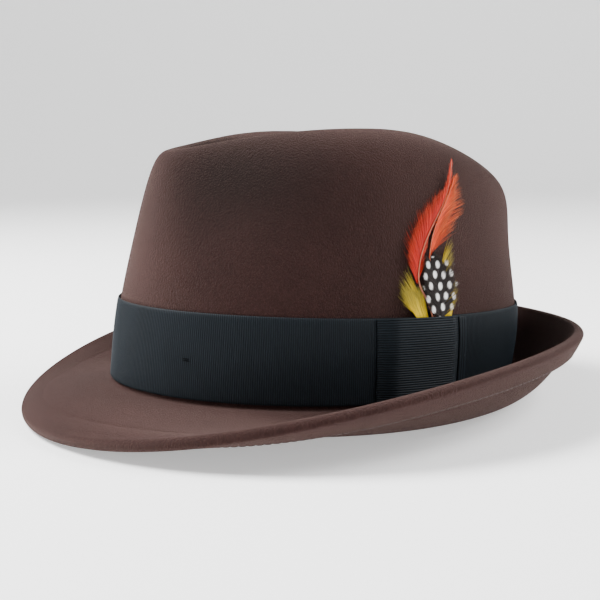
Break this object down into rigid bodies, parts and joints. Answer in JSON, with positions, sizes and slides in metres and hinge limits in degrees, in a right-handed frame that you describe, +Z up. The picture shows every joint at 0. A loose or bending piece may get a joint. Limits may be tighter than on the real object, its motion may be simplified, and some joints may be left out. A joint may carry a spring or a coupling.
{
  "type": "fedora hat",
  "caption": "Dark brown felt fedora with a pinched teardrop crown, curled brim, ribbed ribbon band with flat bow and a pull-out feather spray.",
  "frame": {"origin": "centre of the hat's box in plan, on the surface that the brim rests on", "axes": "+Z up, -Y towards the front brim, +X towards the wearer's left, where the bow and feathers are"},
  "size_m": [0.271, 0.2962, 0.1379],
  "materials": {
    "wool_felt": "matt wool felt, dark brown",
    "brown_thread": "cotton thread",
    "black_grosgrain": "ribbed grosgrain, blue black",
    "black_thread": "thread",
    "satin_lining": "satin",
    "piping_cord": "satin piping",
    "sweat_leather": "smooth leather",
    "reed_plastic": "plain",
    "tag_cloth": "blank woven tag",
    "red_feather": "dyed feather",
    "orange_feather": "dyed feather",
    "spotted_feather": "dark feather with pale spots",
    "yellow_feather": "dyed feather",
    "quill_horn": "horn",
    "backing_felt": "felt"
  },
  "bodies": {
    "hat": {"felt_body": "wool_felt", "welt_stitching": "brown_thread", "hatband_ribbon": "black_grosgrain", "bow_wrap": "black_grosgrain", "band_end": "black_grosgrain", "band_tacks": "black_thread", "lining_side": "satin_lining", "lining_tip": "satin_lining", "lining_piping": "piping_cord", "sweatband": "sweat_leather", "sweatband_reed": "reed_plastic", "sweatband_stitching": "brown_thread", "rear_bow_loops": "black_grosgrain", "rear_bow_knot": "black_grosgrain", "size_tag": "tag_cloth"},
    "feather_spray": {"feather_red": "red_feather", "feather_orange": "orange_feather", "feather_guinea": "spotted_feather", "feather_yellow_front": "yellow_feather", "feather_yellow_rear": "yellow_feather", "quill_red": "quill_horn", "quill_orange": "quill_horn", "quill_guinea": "quill_horn", "quill_binding": "black_thread", "feather_backing": "backing_felt"}
  },
  "joints": [
    {"name": "feather_pull", "type": "slide", "parent": "hat", "child": "feather_spray", "axis": [-0.1757, -0.0224, 0.9842], "range_m": [0, 0.045]}
  ]
}
